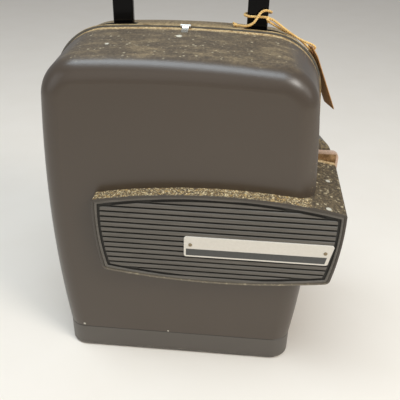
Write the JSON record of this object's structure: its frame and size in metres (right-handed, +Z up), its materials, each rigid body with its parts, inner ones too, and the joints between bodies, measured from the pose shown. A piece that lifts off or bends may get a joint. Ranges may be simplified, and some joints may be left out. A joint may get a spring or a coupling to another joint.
{
  "type": "movie projector",
  "caption": "Closed-up cine film projector: low base, hinged front cover with a ribbed lens nose, mechanism plate, back shell and carry handle.",
  "frame": {"origin": "on the table under the middle of the whole object", "axes": "+X right along the lens nose, +Y back from the cover's face, +Z up"},
  "size_m": [0.2619, 0.1502, 0.356],
  "materials": {
    "bare_plate": "cast plate with a worn bare rim",
    "barrel_black": "black anodised",
    "base_enamel": "satin grey-brown enamel",
    "belt_rubber": "black rubber",
    "bush_brass": "sintered bronze",
    "case_enamel": "hammered brown enamel, satin, dusty on its upper faces",
    "control_black": "black moulded plastic",
    "fan_plastic": "black moulded plastic",
    "foot_rubber": "black rubber",
    "gate_steel": "polished steel",
    "gear_nylon": "cream moulded gears",
    "grille_grey": "satin dark grey",
    "grip_black": "glossy black",
    "guide_black": "matt black",
    "holder_ceramic": "white ceramic",
    "lamp_brass": "brass cap",
    "lamp_glass": "clear glass",
    "lens_glass": "coated optical glass",
    "mirror_face": "silvered",
    "motor_steel": "black painted steel",
    "nameplate_white": "silvery plate, smooth",
    "pulley_steel": "turned steel",
    "reel_sheet": "satin aluminium sheet",
    "rivet_metal": "dull steel",
    "sheet_black": "heat-proof black paint",
    "shell_enamel": "satin grey-brown enamel, dusty",
    "spring_steel": "plain steel",
    "string_cotton": "tan twisted cotton",
    "tab_metal": "bright worn steel",
    "tag_card": "worn brown card",
    "turned_steel": "turned steel"
  },
  "bodies": {
    "case": {"base_tray": "base_enamel", "rubber_feet": "foot_rubber", "hinge_brackets": "spring_steel", "hinge_pins": "turned_steel", "catch_spring": "spring_steel", "mechanism_plate": "bare_plate", "shaft_bushes": "bush_brass", "back_shell": "shell_enamel", "case_screws": "turned_steel", "case_spacers": "turned_steel", "power_inlet": "control_black", "inlet_pins": "bush_brass", "handle_guides": "guide_black", "drive_belt": "belt_rubber", "motor": "motor_steel", "blower_housing": "sheet_black", "lamp_house": "sheet_black", "projector_lamp": "lamp_glass", "lamp_cap": "lamp_brass", "lamp_holder": "holder_ceramic", "lamp_mirror": "mirror_face", "condenser_lens": "lens_glass", "film_gate": "gate_steel", "pressure_plate": "gate_steel", "lens_holder": "bare_plate", "switch_frame": "control_black", "tag_string": "string_cotton", "hang_tag": "tag_card"},
    "cover": {"front_cover": "case_enamel", "grille_panel": "grille_grey", "nameplate": "nameplate_white", "nameplate_rivets": "rivet_metal", "finger_tab": "tab_metal", "catch_tongue": "spring_steel", "cover_hinge_arms": "spring_steel"},
    "handle": {"handle_legs": "grip_black", "handle_grip": "grip_black"},
    "main_drive": {"main_shaft": "turned_steel", "cup_shutter": "motor_steel", "main_pulley": "pulley_steel"},
    "motor_rotor": {"motor_shaft": "turned_steel", "motor_pulley": "pulley_steel", "fan_wheel": "fan_plastic"},
    "upper_sprocket_drive": {"upper_sprocket": "turned_steel", "upper_sprocket_gear": "gear_nylon"},
    "lower_sprocket_drive": {"lower_sprocket": "turned_steel", "lower_sprocket_gear": "gear_nylon"},
    "supply_reel_drive": {"supply_reel": "reel_sheet", "supply_spindle": "turned_steel"},
    "takeup_reel_drive": {"takeup_reel": "reel_sheet", "takeup_spindle": "turned_steel"},
    "lens": {"lens_barrel": "barrel_black", "rear_lens": "lens_glass", "front_lens": "lens_glass"},
    "focus": {"focus_knob": "control_black"},
    "claw": {"film_claw": "spring_steel"},
    "upper_roller": {"upper_film_roller": "control_black"},
    "lower_roller": {"lower_film_roller": "control_black"},
    "run_knob": {"mode_knob": "control_black"},
    "lamp_rocker": {"lamp_switch": "control_black"}
  },
  "joints": [
    {"name": "cover_hinge", "type": "hinge", "parent": "case", "child": "cover", "pos_m": [-0.00955, -0.0556, 0.0168], "axis": [1, 0, 0], "range_deg": [0, 85]},
    {"name": "handle_slide", "type": "slide", "parent": "case", "child": "handle", "axis": [0, 0, 1], "range_m": [-0.022, 0]},
    {"name": "focus_turn", "type": "hinge", "parent": "case", "child": "focus", "pos_m": [0.09044, -0.0381, 0.1296], "axis": [0, 1, 0], "range_deg": [-37, 61]},
    {"name": "lens_focus", "type": "slide", "parent": "case", "child": "lens", "axis": [1, 0, 0], "range_m": [-0.00314, 0.00523]},
    {"name": "main_spin", "type": "hinge", "parent": "case", "child": "main_drive", "pos_m": [0.05745, -0.0021, 0.148], "axis": [0, 1, 0], "continuous": true},
    {"name": "motor_spin", "type": "hinge", "parent": "case", "child": "motor_rotor", "pos_m": [0.01044, -0.0021, 0.06], "axis": [0, 1, 0], "continuous": true},
    {"name": "upper_sprocket_spin", "type": "hinge", "parent": "case", "child": "upper_sprocket_drive", "pos_m": [0.05745, -0.0021, 0.198], "axis": [0, 1, 0], "continuous": true},
    {"name": "lower_sprocket_spin", "type": "hinge", "parent": "case", "child": "lower_sprocket_drive", "pos_m": [0.05745, -0.0021, 0.098], "axis": [0, 1, 0], "continuous": true},
    {"name": "supply_spin", "type": "hinge", "parent": "case", "child": "supply_reel_drive", "pos_m": [-0.05106, -0.0021, 0.2195], "axis": [0, 1, 0], "continuous": true},
    {"name": "takeup_spin", "type": "hinge", "parent": "case", "child": "takeup_reel_drive", "pos_m": [-0.05106, -0.0021, 0.092], "axis": [0, 1, 0], "continuous": true},
    {"name": "claw_stroke", "type": "slide", "parent": "case", "child": "claw", "axis": [0, 0, 1], "range_m": [-0.0019, 0.0019]},
    {"name": "upper_roller_spin", "type": "hinge", "parent": "case", "child": "upper_roller", "pos_m": [0.08245, -0.0201, 0.214], "axis": [0, 1, 0], "continuous": true},
    {"name": "lower_roller_spin", "type": "hinge", "parent": "case", "child": "lower_roller", "pos_m": [0.08245, -0.0201, 0.082], "axis": [0, 1, 0], "continuous": true},
    {"name": "run_knob_turn", "type": "hinge", "parent": "case", "child": "run_knob", "pos_m": [0.05044, -0.0001, 0.258], "axis": [0, 1, 0], "range_deg": [-60, 60]},
    {"name": "lamp_rocker_tilt", "type": "hinge", "parent": "case", "child": "lamp_rocker", "pos_m": [0.07644, 0.0039, 0.056], "axis": [1, 0, 0], "range_deg": [-12, 12]}
  ],
  "couplings": [
    {"joint": "focus_turn", "follows": "lens_focus", "rad_per_m": 200},
    {"joint": "motor_spin", "follows": "main_spin", "ratio": 2.8571},
    {"joint": "upper_sprocket_spin", "follows": "main_spin", "ratio": -0.25},
    {"joint": "lower_sprocket_spin", "follows": "main_spin", "ratio": -0.25}
  ]
}
